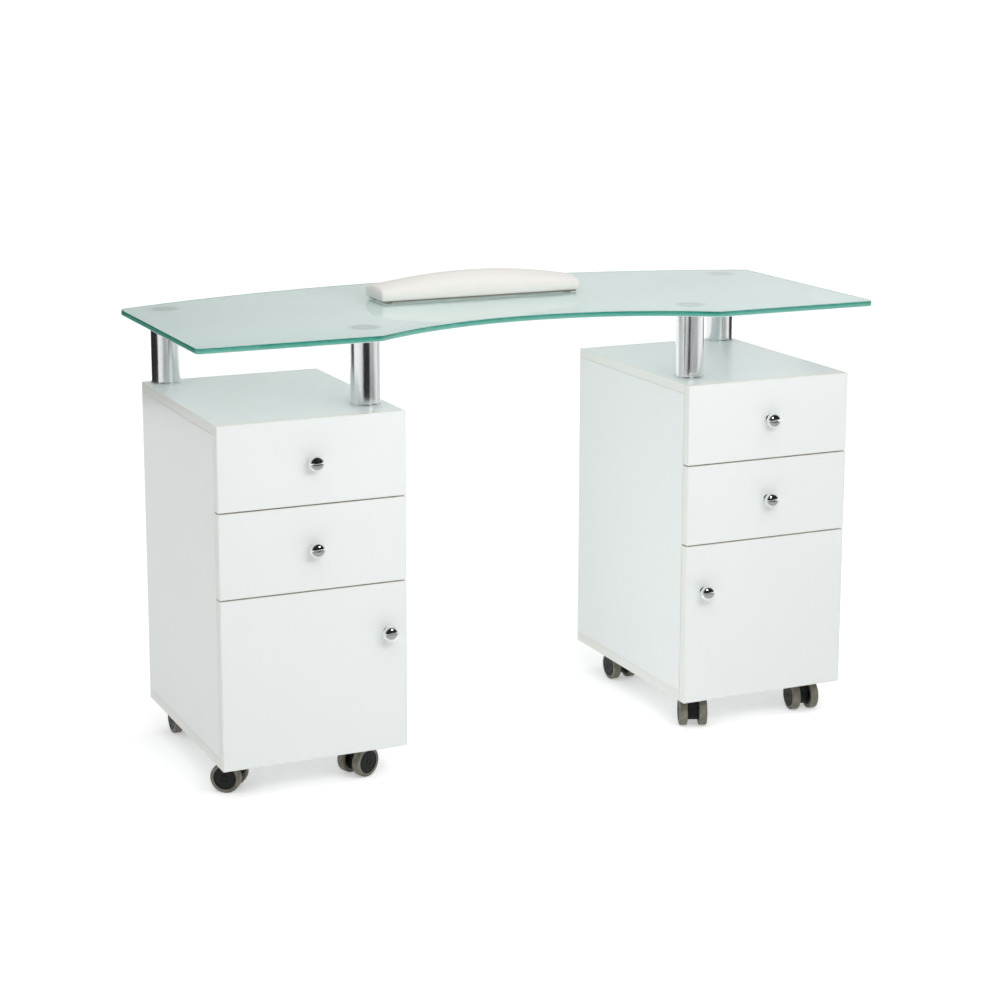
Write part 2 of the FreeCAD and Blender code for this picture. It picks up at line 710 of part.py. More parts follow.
def make_hinge_plates():
    """Mounting plates and arms on the outer sides, two to a door."""
    fittings = []
    for side, sign in SIDES.items():
        wall = f"({CABINET_OUTER_X} - dims.board)"
        arm_y = from_front("dims.hinge_arm_setback")
        plate_y = f"{arm_y} + dims.hinge_arm_length - dims.hinge_plate_length"
        for level, z in HINGE_LEVELS.items():
            name = f"{side}_{level}_hinge"
            x, width = mirrored_x(side, f"{wall} - dims.hinge_plate_thickness", wall)
            plate = box(
                f"{name}_plate",
                (width, "dims.hinge_plate_length", "dims.hinge_plate_height"),
                (x, plate_y, f"{z} - dims.hinge_plate_height / 2"),
            )
            outer = f"{wall} - dims.hinge_plate_thickness"
            x, width = mirrored_x(side, f"{outer} - dims.hinge_arm_width", outer)
            arm = box(
                f"{name}_arm",
                (width, "dims.hinge_arm_length", "dims.hinge_arm_height"),
                (x, arm_y, f"{z} - dims.hinge_arm_height / 2"),
            )
            fittings += [plate, arm]
    group("hinge_plates_and_arms", fittings)


def caster_spot(name):
    """Where a caster's swivel axis stands, as X and depth from the fronts."""
    side, end, which = name.split("_")
    inset = "dims.caster_side_inset"
    if which == "inner":
        x = f"dims.cabinet_inner_x + {inset}"
    else:
        x = f"{CABINET_OUTER_X} - {inset}"
    depth = "dims.caster_end_inset"
    if end == "back":
        depth = f"dims.cabinet_depth - {depth}"
    return f"{SIDES[side]} * ({x})", depth


def make_caster_plates():
    """The fixed plates with their kingpins, and the screws that hold them up."""
    plates = []
    screws = []
    half = "dims.caster_plate / 2"
    under = "(dims.floor_gap - dims.caster_plate_thickness)"
    size = ("dims.caster_plate", "dims.caster_plate", "dims.caster_plate_thickness")
    for name in CASTER_YAWS:
        x, depth = caster_spot(name)
        y = from_front(depth)
        plates.append(box(f"{name}_plate", size, (f"{x} - {half}", f"{y} - {half}", under)))
        pin_base = (x, y, f"{under} - dims.kingpin_length")
        pin = cylinder(f"{name}_kingpin", "dims.kingpin_radius", "dims.kingpin_length", pin_base)
        plates.append(pin)
        for across in (-1, 1):
            for along in (-1, 1):
                spot = (
                    f"{x} + {across} * dims.screw_pitch / 2",
                    f"{y} + {along} * dims.screw_pitch / 2",
                    under,
                )
                screw = f"{name}_screw_{len(screws) % 4 + 1}"
                screws.append(cylinder(screw, "dims.screw_radius", "dims.screw_length", spot))
    group("caster_plates_and_kingpins", plates)
    return screws


def turn_caster(piece, yaw, x, y, along):
    """Swing a piece, built on the axle's side, about the caster's swivel axis."""
    turn = FreeCAD.Rotation(FreeCAD.Vector(0, 0, 1), yaw)
    level = "0" if along == "0" else "dims.wheel_radius"
    place(
        piece,
        f"{x} - {along} * sin({yaw} deg)",
        f"{y} + {along} * cos({yaw} deg)",
        level,
        turn,
    )


def make_caster(name, yaw):
    """One caster: a body on the kingpin, and twin wheels on one axle."""
    x, depth = caster_spot(name)
    y = from_front(depth)
    body = make_caster_body(name)
    turn_caster(body, yaw, x, y, "0")
    node(body, f"{name}_caster_body")
    wheels = []
    near, far = "dims.wheel_gap / 2", "(dims.wheel_gap / 2 + dims.wheel_width)"
    bevel, outer = "dims.tread_chamfer", "dims.wheel_radius"
    rim = f"({outer} - dims.tread_depth)"
    for hand in (-1, 1):
        tread = [
            (near, rim),
            (far, rim),
            (far, f"{outer} - {bevel}"),
            (f"{far} - {bevel}", outer),
            (f"{near} + {bevel}", outer),
            (near, f"{outer} - {bevel}"),
        ]
        hub = [
            (f"{near} + dims.hub_inset", "dims.axle_radius"),
            (f"{far} - dims.hub_inset", "dims.axle_radius"),
            (f"{far} - dims.hub_inset", rim),
            (f"{near} + dims.hub_inset", rim),
        ]
        for part, profile in (("tread", tread), ("hub", hub)):
            points = [(f"{hand} * ({along})", radius) for along, radius in profile]
            wheel = turned(f"{name}_{part}_{'b' if hand > 0 else 'a'}", points)
            turn_caster(wheel, yaw, x, y, "dims.caster_trail")
            wheels.append(wheel)
    half_axle = f"({far} - 2 * dims.hub_inset)"
    axle_profile = [
        (f"-{half_axle}", "0"),
        (half_axle, "0"),
        (half_axle, "dims.axle_radius"),
        (f"-{half_axle}", "dims.axle_radius"),
    ]
    axle = turned(f"{name}_axle", axle_profile)
    turn_caster(axle, yaw, x, y, "dims.caster_trail")
    wheels.append(axle)
    group(f"{name}_caster_wheels", wheels)


def make_caster_body(name):
    """The moulded block between the wheels, bored for kingpin and axle."""
    body = doc.addObject("PartDesign::Body", f"{name}_caster_body")
    top = "(dims.floor_gap - dims.caster_plate_thickness - dims.fork_clearance)"
    trail = "dims.caster_trail"
    tail = f"({trail} + dims.fork_tail)"
    outline = [
        ("-dims.fork_nose", "dims.fork_nose_level"),
        (f"{trail} - dims.fork_low_lead", "dims.fork_low_level"),
        (f"{trail} + dims.fork_low_trail", "dims.fork_low_level"),
        (tail, "dims.fork_low_level + dims.fork_tail_rise"),
        (tail, f"{top} - dims.fork_shoulder"),
        (f"{tail} - dims.fork_shoulder", top),
        ("-dims.fork_nose", top),
    ]
    sketch = polygon_sketch(body, f"{name}_caster_outline", "YZ_Plane", outline)
    extrude(body, f"{name}_caster_block", sketch, "dims.fork_width", both_ways=True)
    axle_start = ("-dims.fork_width / 2", trail, "dims.wheel_radius")
    axle_bore = "dims.axle_radius + dims.running_fit"
    drill(body, f"{name}_axle_bore", axle_bore, "dims.fork_width", axle_start, CYLINDER_ALONG_X)
    pin_bore = "dims.kingpin_radius + dims.running_fit"
    pin_depth = "dims.kingpin_length + dims.running_fit"
    drill(body, f"{name}_kingpin_bore", pin_bore, pin_depth, ("0", "0", f"{top} - ({pin_depth})"))
    dimple_start = ("0", f"{tail} - dims.dimple_depth", "dims.wheel_radius + dims.dimple_lift")
    dimple = f"{name}_dimple"
    drill(body, dimple, "dims.dimple_radius", "dims.dimple_depth", dimple_start, CYLINDER_ALONG_Y)
    return body


def crowned_section(body, name, offset, crown):
    """Upright sides under an arc, across the cushion, this far along it."""
    sketch = new_sketch(body, name, "YZ_Plane")
    sketch.setExpression("AttachmentOffset.Base.z", offset)
    half, edge = "dims.armrest_width / 2", "dims.armrest_edge"
    corners = [(f"-{half}", "0"), (half, "0"), (half, edge), (f"-{half}", edge)]
    spots = [FreeCAD.Vector(value_of(a), value_of(b), 0) for a, b in corners]
    crest = FreeCAD.Vector(0, value_of(f"{edge} + {crown}"), 0)
    sketch.addGeometry(Part.LineSegment(spots[0], spots[1]), False)
    sketch.addGeometry(Part.LineSegment(spots[1], spots[2]), False)
    sketch.addGeometry(Part.Arc(spots[2], crest, spots[3]), False)
    sketch.addGeometry(Part.LineSegment(spots[3], spots[0]), False)
    for join in ((0, 2, 1, 1), (1, 2, 2, 1), (2, 2, 3, 1), (3, 2, 0, 1)):
        sketch.addConstraint(Sketcher.Constraint("Coincident", *join))
    for index, line in enumerate((0, 1, 2, 3)):
        pin_corner(sketch, line, 1, f"corner{index}", corners[index])
    pin_arc(sketch, 2, "crown_radius", arc_radius(f"({half})", crown))
    return sketch


def make_armrest():
    """The loose armrest: a crowned cushion on a board with four small feet."""
    board_z = f"{GLASS_TOP} + dims.armrest_foot"
    cushion_z = f"{board_z} + dims.armrest_board"
    middle_y = from_front("dims.armrest_depth")
    body = doc.addObject("PartDesign::Body", "armrest_cushion")
    half = "dims.armrest_length / 2"
    sections = [
        crowned_section(body, "cushion_start", f"-{half}", "dims.armrest_end_crown"),
        crowned_section(body, "cushion_middle", "0", "dims.armrest_crown"),
        crowned_section(body, "cushion_end", half, "dims.armrest_end_crown"),
    ]
    doc.recompute()
    loft = body.newObject("PartDesign::AdditiveLoft", "cushion_loft")
    loft.Profile = sections[0]
    loft.Sections = sections[1:]
    place(body, "0", middle_y, cushion_z)
    node(body, "armrest_cushion")
    inset = "dims.armrest_board_inset"
    base = board_plate("armrest_base_board", inset, middle_y, board_z)
    node(base, "armrest_base_board")
    feet = []
    for across in (-1, 1):
        for along in (-1, 1):
            reach = "(dims.armrest_length / 2 - dims.armrest_foot_inset)"
            spread = "(dims.armrest_width / 2 - dims.armrest_foot_inset)"
            spot = (f"{across} * {reach}", f"{middle_y} + {along} * {spread}", GLASS_TOP)
            foot = f"armrest_foot_{len(feet) + 1}"
            feet.append(cylinder(foot, "dims.armrest_foot_radius", "dims.armrest_foot", spot))
    group("armrest_feet", feet)


def board_plate(name, inset, middle_y, level):
    length = f"(dims.armrest_length - 2 * {inset})"
    width = f"(dims.armrest_width - 2 * {inset})"
    corner = (f"-{length} / 2", f"{middle_y} - {width} / 2", level)
    return box(name, (length, width, "dims.armrest_board"), corner)


def check_document():
    """Stop if any object failed, or any sub-part has no sound shape."""
    failed = [item.Name for item in doc.Objects if {"Invalid", "Error"} & set(item.State)]
    for piece in nodes:
        if piece.Shape.isNull() or not piece.Shape.isValid():
            failed.append(piece.Label)
    if failed:
        print("failed:", ", ".join(failed))
        sys.exit(1)


def write_parts():
    os.makedirs("parts", exist_ok=True)
    for piece in nodes:
        piece.Shape.exportStep(f"parts/{piece.Label}.step")
    print(f"{len(nodes)} sub-parts written")


make_glass()
fixings = make_posts()
for side, sign in SIDES.items():
    make_carcass(side, sign)
make_mid_shelves()
make_drawer_rails()
make_hinge_plates()
fixings += make_caster_plates()
group("post_bolts_and_caster_screws", fixings)
for side, sign in SIDES.items():
    for level in DRAWER_BOTTOMS:
        make_drawer(side, sign, level)
    make_door(side, sign)
for name, yaw in CASTER_YAWS.items():
    make_caster(name, yaw)
make_armrest()
doc.recompute()
check_document()
write_parts()
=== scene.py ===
"""The looks of a manicure table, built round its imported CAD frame.

Metres, +Z up. The drawer fronts face -Y, and the origin is on the floor under
the middle of the table. Lengths written with MM are in millimetres.
"""

import json
import math

import bmesh
import bpy
from mathutils import Matrix, Vector


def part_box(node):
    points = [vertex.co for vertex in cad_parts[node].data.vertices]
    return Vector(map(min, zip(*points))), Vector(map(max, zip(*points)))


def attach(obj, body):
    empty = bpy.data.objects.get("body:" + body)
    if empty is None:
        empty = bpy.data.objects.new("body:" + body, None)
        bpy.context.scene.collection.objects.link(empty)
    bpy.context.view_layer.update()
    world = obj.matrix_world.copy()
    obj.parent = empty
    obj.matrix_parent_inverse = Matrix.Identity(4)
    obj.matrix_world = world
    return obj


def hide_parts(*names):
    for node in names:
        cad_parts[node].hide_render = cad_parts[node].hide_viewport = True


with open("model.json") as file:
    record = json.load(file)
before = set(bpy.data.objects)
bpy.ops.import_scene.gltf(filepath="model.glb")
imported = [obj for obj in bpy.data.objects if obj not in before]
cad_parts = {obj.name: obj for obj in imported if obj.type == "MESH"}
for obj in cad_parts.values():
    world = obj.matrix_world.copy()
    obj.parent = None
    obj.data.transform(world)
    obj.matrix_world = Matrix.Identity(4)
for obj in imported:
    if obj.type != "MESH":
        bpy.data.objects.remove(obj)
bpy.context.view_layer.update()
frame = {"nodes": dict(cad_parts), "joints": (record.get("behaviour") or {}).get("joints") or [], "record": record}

MM = 0.001
NODES = frame["nodes"]
JOINTS = {joint["name"]: joint for joint in frame["joints"]}
BODIES = frame["record"]["behaviour"]["bodies"]
BODY_OF = {node: body for body, nodes in BODIES.items() for node in nodes}
SIDES = ("left", "right")
CASTERS = [name[: -len("_caster_body")] for name in NODES if name.endswith("_caster_body")]
# Points nearer to each other, or to an axis, than this are one point.
ONE_POINT = 1e-6


# ---------------------------------------------------------------- materials

# A face is level when the upright share of its normal is more than this.
LEVEL_FACE = 0.5


class Tree:
    """One material's node tree, with short calls for the nodes that are used here."""

    def __init__(self, name):
        self.material = bpy.data.materials.new(name)
        self.material.use_nodes = True
        self.nodes = self.material.node_tree.nodes
        self.links = self.material.node_tree.links
        self.nodes.clear()
        self.coordinates = self.add("ShaderNodeTexCoord")

    def feed(self, socket, value):
        if isinstance(value, bpy.types.NodeSocket):
            self.links.new(value, socket)
        elif isinstance(value, tuple) and len(value) == 3 and socket.type == "RGBA":
            socket.default_value = (*value, 1)
        else:
            socket.default_value = value

    def add(self, kind, inputs=None, **settings):
        made = self.nodes.new(kind)
        for key, value in settings.items():
            setattr(made, key, value)
        for key, value in (inputs or {}).items():
            self.feed(made.inputs[key], value)
        return made

    def math(self, operation, *values):
        made = self.add("ShaderNodeMath", operation=operation)
        for socket, value in zip(made.inputs, values):
            self.feed(socket, value)
        return made.outputs[0]

    def split(self, source):
        """The X, Y and Z of one kind of texture coordinate."""
        return self.add("ShaderNodeSeparateXYZ", {"Vector": self.coordinates.outputs[source]}).outputs

    def noise(self, scale, detail=2.0, stretch=(1, 1, 1)):
        """Noise in object space; scale is in cells to a metre."""
        spot = self.coordinates.outputs["Object"]
        place = self.add("ShaderNodeMapping", {"Vector": spot, "Scale": stretch})
        inputs = {"Vector": place.outputs[0], "Scale": scale, "Detail": detail}
        return self.add("ShaderNodeTexNoise", inputs).outputs["Fac"]

    def cells(self, scale):
        inputs = {"Vector": self.coordinates.outputs["Object"], "Scale": scale}
        return self.add("ShaderNodeTexVoronoi", inputs).outputs["Distance"]

    def between(self, factor, low, high, start=0.0, end=1.0):
        """The factor's range start to end, spread over low to high."""
        inputs = {"Value": factor, "From Min": start, "From Max": end, "To Min": low, "To Max": high}
        return self.add("ShaderNodeMapRange", inputs).outputs["Result"]

    def tint(self, factor, first, second):
        made = self.add("ShaderNodeMix", data_type="RGBA")
        self.feed(made.inputs["Factor"], factor)
        self.feed(made.inputs[6], first)
        self.feed(made.inputs[7], second)
        return made.outputs[2]

    def bump(self, height, strength, distance, under=None):
        made = self.add("ShaderNodeBump", {"Height": height, "Strength": strength, "Distance": distance})
        if under is not None:
            self.feed(made.inputs["Normal"], under)
        return made.outputs[0]

    def shader(self, **inputs):
        names = {key: key.replace("_", " ").title().replace("Ior", "IOR") for key in inputs}
        names["specular_level"] = "Specular IOR Level"
        settings = {names[key]: value for key, value in inputs.items()}
        return self.add("ShaderNodeBsdfPrincipled", settings).outputs[0]

    def choose(self, factor, first, second):
        """One shader where the factor is 0, the other where it is 1."""
        return self.add("ShaderNodeMixShader", {0: factor, 1: first, 2: second}).outputs[0]

    def finish(self, shader):
        self.add("ShaderNodeOutputMaterial", {"Surface": shader})
        return self.material


TAPE = 1.6 * MM
TAPE_BLUR, GLUE_LINE_WIDTH, GLUE_LINE_STRENGTH = 0.05 * MM, 0.2 * MM, 0.4
MELAMINE_DARK, MELAMINE_LIGHT = (0.790, 0.822, 0.815), (0.812, 0.840, 0.834)
TAPE_COLOUR, GLUE_LINE_COLOUR = (0.785, 0.79, 0.75), (0.55, 0.55, 0.50)


def melamine(name, size=None):
    """White melamine board. With its size, its rim and narrow faces show the edging tape."""
    tree = Tree(name)
    colour = tree.tint(tree.noise(5, 3), MELAMINE_DARK, MELAMINE_LIGHT)
    if size:
        generated = tree.split("Generated")
        depths = []
        for axis, length in enumerate(size):
            if length > min(size):
                share = generated[axis]
                nearer = tree.math("MINIMUM", share, tree.math("SUBTRACT", 1.0, share))
                depths.append(tree.math("MULTIPLY", nearer, length))
        rim = tree.math("MINIMUM", *depths)
        tape = tree.between(rim, 1.0, 0.0, TAPE - TAPE_BLUR, TAPE + TAPE_BLUR)
        off_line = tree.math("ABSOLUTE", tree.math("SUBTRACT", rim, TAPE))
        line = tree.between(off_line, 1.0, 0.0, TAPE_BLUR, GLUE_LINE_WIDTH)
        colour = tree.tint(tape, colour, TAPE_COLOUR)
        line = tree.math("MULTIPLY", line, GLUE_LINE_STRENGTH)
        colour = tree.tint(line, colour, GLUE_LINE_COLOUR)
    pearl = tree.noise(900, 2)
    swell = tree.noise(45, 2)
    relief = tree.bump(swell, 0.10, 0.4 * MM, tree.bump(pearl, 0.14, 0.06 * MM))
    rough = tree.between(tree.noise(14, 4), 0.30, 0.40)
    board = tree.shader(
        base_color=colour, roughness=rough, normal=relief, coat_weight=0.12, coat_roughness=0.22
    )
    return tree.finish(board)


def plain(name, dark, light, rough, grain, depth, blotch=20.0, **more):
    """A moulded or painted finish: two close colours, mottled, over a fine grain."""
    tree = Tree(name)
    colour = tree.tint(tree.between(tree.noise(blotch, 3), 0, 1, 0.35, 0.65), dark, light)
    relief = tree.bump(tree.noise(grain, 3), 0.3, depth)
    roughness = tree.between(tree.noise(blotch * 3, 3), rough[0], rough[1], 0.3, 0.7)
    return tree.finish(tree.shader(base_color=colour, roughness=roughness, normal=relief, **more))


def satin_aluminium():
    """Anodised aluminium with a fine grain along Z."""
    tree = Tree("satin_aluminium")
    grain = tree.noise(1500, 3, stretch=(1, 1, 0.02))
    colour = tree.tint(grain, (0.74, 0.75, 0.765), (0.86, 0.865, 0.875))
    relief = tree.bump(grain, 0.22, 0.03 * MM)
    rough = tree.between(grain, 0.17, 0.25, 0.3, 0.7)
    return tree.finish(tree.shader(base_color=colour, metallic=1.0, roughness=rough, normal=relief))


def chrome():
    tree = Tree("chrome")
    smear = tree.noise(160, 4)
    rough = tree.between(smear, 0.02, 0.07, 0.4, 0.75)
    colour = tree.tint(smear, (0.86, 0.87, 0.88), (0.92, 0.92, 0.92))
    relief = tree.bump(tree.noise(70, 1), 0.05, 0.05 * MM)
    return tree.finish(tree.shader(base_color=colour, metallic=1.0, roughness=rough, normal=relief))


def zinc_steel():
    """Bright zinc plate with its faint crystalline mottle."""
    tree = Tree("zinc_steel")
    spangle = tree.cells(260)
    colour = tree.tint(tree.between(spangle, 0, 1, 0.1, 0.7), (0.52, 0.53, 0.55), (0.68, 0.68, 0.67))
    rough = tree.between(spangle, 0.28, 0.42, 0.1, 0.8)
    relief = tree.bump(tree.noise(800, 2), 0.1, 0.03 * MM)
    return tree.finish(tree.shader(base_color=colour, metallic=1.0, roughness=rough, normal=relief))


def painted_plywood():
    """White painted plywood whose narrow faces carry a painted shade: dark brown with streaks."""
    tree = Tree("white_board")
    tilt = tree.split("Normal")["Z"]
    paint = tree.tint(tree.noise(20, 3), (0.80, 0.82, 0.80), (0.85, 0.86, 0.84))
    # Painted shade: the narrow faces are painted dark brown, standing in for the shade line under the cushion's
    # lip.
    edge_shade_streaks = tree.noise(60, 3, stretch=(1, 1, 20))
    edge_shade_paint = tree.tint(edge_shade_streaks, (0.17, 0.145, 0.11), (0.33, 0.285, 0.22))
    is_edge = tree.math("LESS_THAN", tree.math("ABSOLUTE", tilt), LEVEL_FACE)
    colour = tree.tint(is_edge, paint, edge_shade_paint)
    relief = tree.bump(tree.noise(500, 3), 0.3, 0.1 * MM)
    rough = tree.between(tree.noise(60, 3), 0.45, 0.6, 0.3, 0.7)
    return tree.finish(tree.shader(base_color=colour, roughness=rough, normal=relief))


def vinyl():
    """Soft white upholstery vinyl: a pebbled grain over faint broad creasing."""
    tree = Tree("white_vinyl")
    colour = tree.tint(tree.noise(12, 3), (0.845, 0.815, 0.775), (0.872, 0.845, 0.81))
    pebble = tree.cells(1300)
    grain = tree.bump(pebble, 0.22, 0.10 * MM)
    relief = tree.bump(tree.noise(60, 3, stretch=(0.6, 1, 1)), 0.12, 0.5 * MM, grain)
    rough = tree.between(pebble, 0.36, 0.50, 0.1, 0.6)
    cover = tree.shader(
        base_color=colour,
        roughness=rough,
        normal=relief,
        specular_level=0.22,
        coat_weight=0.04,
        coat_roughness=0.3,
    )
    return tree.finish(cover)


GLASS_IOR = 1.52
GLASS_TINT, GLASS_SHADOW_TINT = (0.87, 0.95, 0.93), (0.87, 0.888, 0.882)
ETCHED_DARK, ETCHED_LIGHT = (0.675, 0.775, 0.757), (0.765, 0.850, 0.832)
# Painted shade over the post discs: its colour, the reach of its soft rim, and how faint it is in the middle.
DISC_SHADE = (0.47, 0.555, 0.535)
DISC_SHADE_RIM, DISC_SHADE_MIDDLE = (17 * MM, 30 * MM), (2 * MM, 16 * MM)
DISC_SHADE_MIDDLE_STRENGTH = 0.55
# Edge colours: EDGE_LOW at the foot, EDGE_HIGH at the top, the darkening upwards being painted shade; the streaks
# are a random tone.
EDGE_LOW, EDGE_HIGH, EDGE_STREAK = (0.125, 0.40, 0.32), (0.004, 0.22, 0.165), (0.26, 0.52, 0.44)
# Painted reflection of the inner posts in the glass's front edge: its colour and strength, its fade across each
# post, and its reach in front of the post.
PAINTED_POST_REFLECTION, PAINTED_POST_REFLECTION_STRENGTH = (0.012, 0.16, 0.115), 0.75
PAINTED_POST_REFLECTION_WIDTH, PAINTED_POST_REFLECTION_REACH = (15 * MM, 26 * MM), (60 * MM, 40 * MM)


def etched_face(tree, underside, posts):
    """The matt lower face: pale green and mottled, with a painted shade over each post's disc."""
    spot = tree.coordinates.outputs["Object"]
    etch = tree.bump(tree.noise(2500, 3), 0.35, 0.05 * MM)
    mottle = tree.between(tree.noise(2.2, 2), 0, 1, 0.35, 0.65)
    cast = tree.tint(mottle, ETCHED_DARK, ETCHED_LIGHT)
    # Painted shade: each disc below the glass is painted as a soft darker patch, fainter in its middle.
    for post in posts:
        middle = Vector((post.x, post.y, underside))
        distance = tree.add("ShaderNodeVectorMath", {0: spot, 1: middle}, operation="DISTANCE")
        away = distance.outputs["Value"]
        rim = tree.between(away, 1.0, 0.0, *DISC_SHADE_RIM)
        painted_disc_shade = tree.math("MULTIPLY", rim, tree.between(away, DISC_SHADE_MIDDLE_STRENGTH, 1.0, *DISC_SHADE_MIDDLE))
        cast = tree.tint(painted_disc_shade, cast, DISC_SHADE)
    return tree.shader(
        base_color=cast, roughness=0.9, transmission_weight=0.16, ior=GLASS_IOR, normal=etch
    )


def ground_edge(tree, depth, posts):
    """The ground rim: deep green, with painted shade that darkens it towards the top, and a painted reflection of
    the inner posts in its front.
    """
    spot = tree.split("Object")
    # Painted shade: darker towards the top of the edge.
    shade = tree.tint(tree.between(depth, 0, 1, 0.2, 0.8), EDGE_LOW, EDGE_HIGH)
    streak = tree.noise(90, 3, stretch=(1, 1, 6))
    shade = tree.tint(tree.between(streak, 0.0, 0.3, 0.45, 0.8), shade, EDGE_STREAK)
    # Painted reflection: each inner post is painted as a dark patch in the upper front of the edge.
    for post in posts:
        along = tree.math("ABSOLUTE", tree.math("SUBTRACT", spot["X"], post.x))
        near = tree.between(along, 1.0, 0.0, *PAINTED_POST_REFLECTION_WIDTH)
        front = tree.between(spot["Y"], 1.0, 0.0, *(post.y - reach for reach in PAINTED_POST_REFLECTION_REACH))
        above = tree.between(depth, 0, 1, 0.35, 0.7)
        mirrored = tree.math("MULTIPLY", near, tree.math("MULTIPLY", front, above))
        mirrored = tree.math("MULTIPLY", mirrored, PAINTED_POST_REFLECTION_STRENGTH)
        shade = tree.tint(mirrored, shade, PAINTED_POST_REFLECTION)
    ground = tree.bump(tree.noise(1200, 2), 0.15, 0.03 * MM)
    return tree.shader(
        base_color=shade,
        roughness=0.16,
        transmission_weight=0.1,
        ior=GLASS_IOR,
        normal=ground,
        coat_weight=0.2,
        coat_roughness=0.05,
    )


def frosted_glass(low, high, outer_posts, inner_posts):
    """Green-tinted float glass: polished above, acid-etched below, ground at its edge."""
    tree = Tree("frosted_glass")
    tilt = tree.split("Normal")["Z"]
    level = tree.math("GREATER_THAN", tree.math("ABSOLUTE", tilt), LEVEL_FACE)
    depth = tree.between(tree.split("Object")["Z"], 0.0, 1.0, low.z, high.z)
    upper = tree.math("GREATER_THAN", depth, 0.5)
    is_top = tree.math("MULTIPLY", level, upper)
    is_under = tree.math("MULTIPLY", level, tree.math("SUBTRACT", 1.0, upper))
    wave = tree.bump(tree.noise(3, 1), 0.02, 1.0 * MM)
    top = tree.shader(
        base_color=GLASS_TINT, roughness=0.015, transmission_weight=1.0, ior=GLASS_IOR, normal=wave
    )
    under = etched_face(tree, low.z, outer_posts + inner_posts)
    edge = ground_edge(tree, depth, inner_posts)
    whole = tree.choose(is_top, tree.choose(is_under, edge, under), top)
    passing = tree.add("ShaderNodeBsdfTransparent", {"Color": GLASS_SHADOW_TINT}).outputs[0]
    lamp_ray = tree.add("ShaderNodeLightPath").outputs["Is Shadow Ray"]
    return tree.finish(tree.choose(lamp_ray, whole, passing))


def post_tops(outer):
    """The middle of the top of each cabinet's outer or inner post."""
    spots = []
    for side in SIDES:
        low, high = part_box(f"{side}_posts")
        x = low.x + POST_RADIUS if (side == "left") == outer else high.x - POST_RADIUS
        y = high.y - POST_RADIUS if outer else low.y + POST_RADIUS
        spots.append(Vector((x, y, high.z)))
    return spots


POST_RADIUS = 24 * MM
OUTER_POSTS, INNER_POSTS = post_tops(outer=True), post_tops(outer=False)
glass_low, glass_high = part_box("glass_top")
LOOKS = {
    "frosted_glass": frosted_glass(glass_low, glass_high, OUTER_POSTS, INNER_POSTS),
    "white_melamine": melamine("white_melamine"),
    "satin_aluminium": satin_aluminium(),
    "chrome": chrome(),
    "zinc_steel": zinc_steel(),
    "white_vinyl": vinyl(),
    "white_board": painted_plywood(),
    "drawer_board": plain(
        "drawer_board",
        (0.74, 0.75, 0.74),
        (0.78, 0.79, 0.78),
        rough=(0.4, 0.5),
        grain=700,
        depth=0.05 * MM,
    ),
    "black_rubber": plain(
        "black_rubber",
        (0.012, 0.012, 0.012),
        (0.02, 0.02, 0.02),
        rough=(0.6, 0.8),
        grain=1200,
        depth=0.1 * MM,
    ),
    "black_nylon": plain(
        "black_nylon",
        (0.0035, 0.004, 0.0048),
        (0.008, 0.009, 0.010),
        rough=(0.42, 0.55),
        grain=900,
        depth=0.08 * MM,
        blotch=60.0,
        specular_level=0.25,
    ),
    "grey_tread": plain(
        "grey_tread",
        (0.135, 0.125, 0.096),
        (0.205, 0.192, 0.152),
        rough=(0.42, 0.6),
        grain=700,
        depth=0.12 * MM,
        blotch=90.0,
    ),
}


# ------------------------------------------------------------------ meshes

def settle(piece, name, look, body, replaced, smooth_under):
    """Name a finished mesh object, dress it, and let it ride on its body."""
    piece.name = name
    piece.data.materials.clear()
    piece.data.materials.append(LOOKS[look])
    piece.data.shade_smooth()
    piece.data.set_sharp_from_angle(angle=math.radians(smooth_under))
    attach(piece, body)
    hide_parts(*replaced)
    return piece


def link(name, data):
    """An object in the scene that holds a mesh, a lamp or a camera."""
    made = bpy.data.objects.new(name, data)
    bpy.context.scene.collection.objects.link(made)
    return made


def mesh_object(name, points, faces):
    mesh = bpy.data.meshes.new(name)
    mesh.from_pydata(points, [], faces)
    mesh.update()
    return link(name, mesh)


def from_bmesh(name, shape):
    bmesh.ops.recalc_face_normals(shape, faces=shape.faces)
    mesh = bpy.data.meshes.new(name)
    shape.to_mesh(mesh)
    shape.free()
    return link(name, mesh)


def rounded(corners, steps):
    """An outline through (a, b, radius) corners, each rounded by its radius."""
    outline = []
    count = len(corners)
    for index, (a, b, radius) in enumerate(corners):
        here = Vector((a, b))
        before = Vector(corners[index - 1][:2]) - here
        after = Vector(corners[(index + 1) % count][:2]) - here
        if radius <= 0 or before.length == 0 or after.length == 0:
            outline.append((a, b))
            continue
        half = before.angle(after) / 2
        reach = min(radius / math.tan(half), before.length * 0.49, after.length * 0.49)
        start, end = here + before.normalized() * reach, here + after.normalized() * reach
        for step in range(steps + 1):
            share = step / steps
            bend = (1 - share) ** 2 * start + 2 * share * (1 - share) * here + share ** 2 * end
            outline.append((bend.x, bend.y))
    return outline


def flowing(points, steps):
    """A smooth line through the points."""
    spots = [Vector(point) for point in points]
    padded = [spots[0]] + spots + [spots[-1]]
    line = []
    for index in range(1, len(padded) - 2):
        a, b, c, d = padded[index - 1 : index + 3]
        for step in range(steps):
            t = step / steps
            square, cube = 2 * a - 5 * b + 4 * c - d, 3 * b - a - 3 * c + d
            line.append(tuple(0.5 * (2 * b + (c - a) * t + square * t * t + cube * t ** 3)))
    return line + [tuple(spots[-1])]


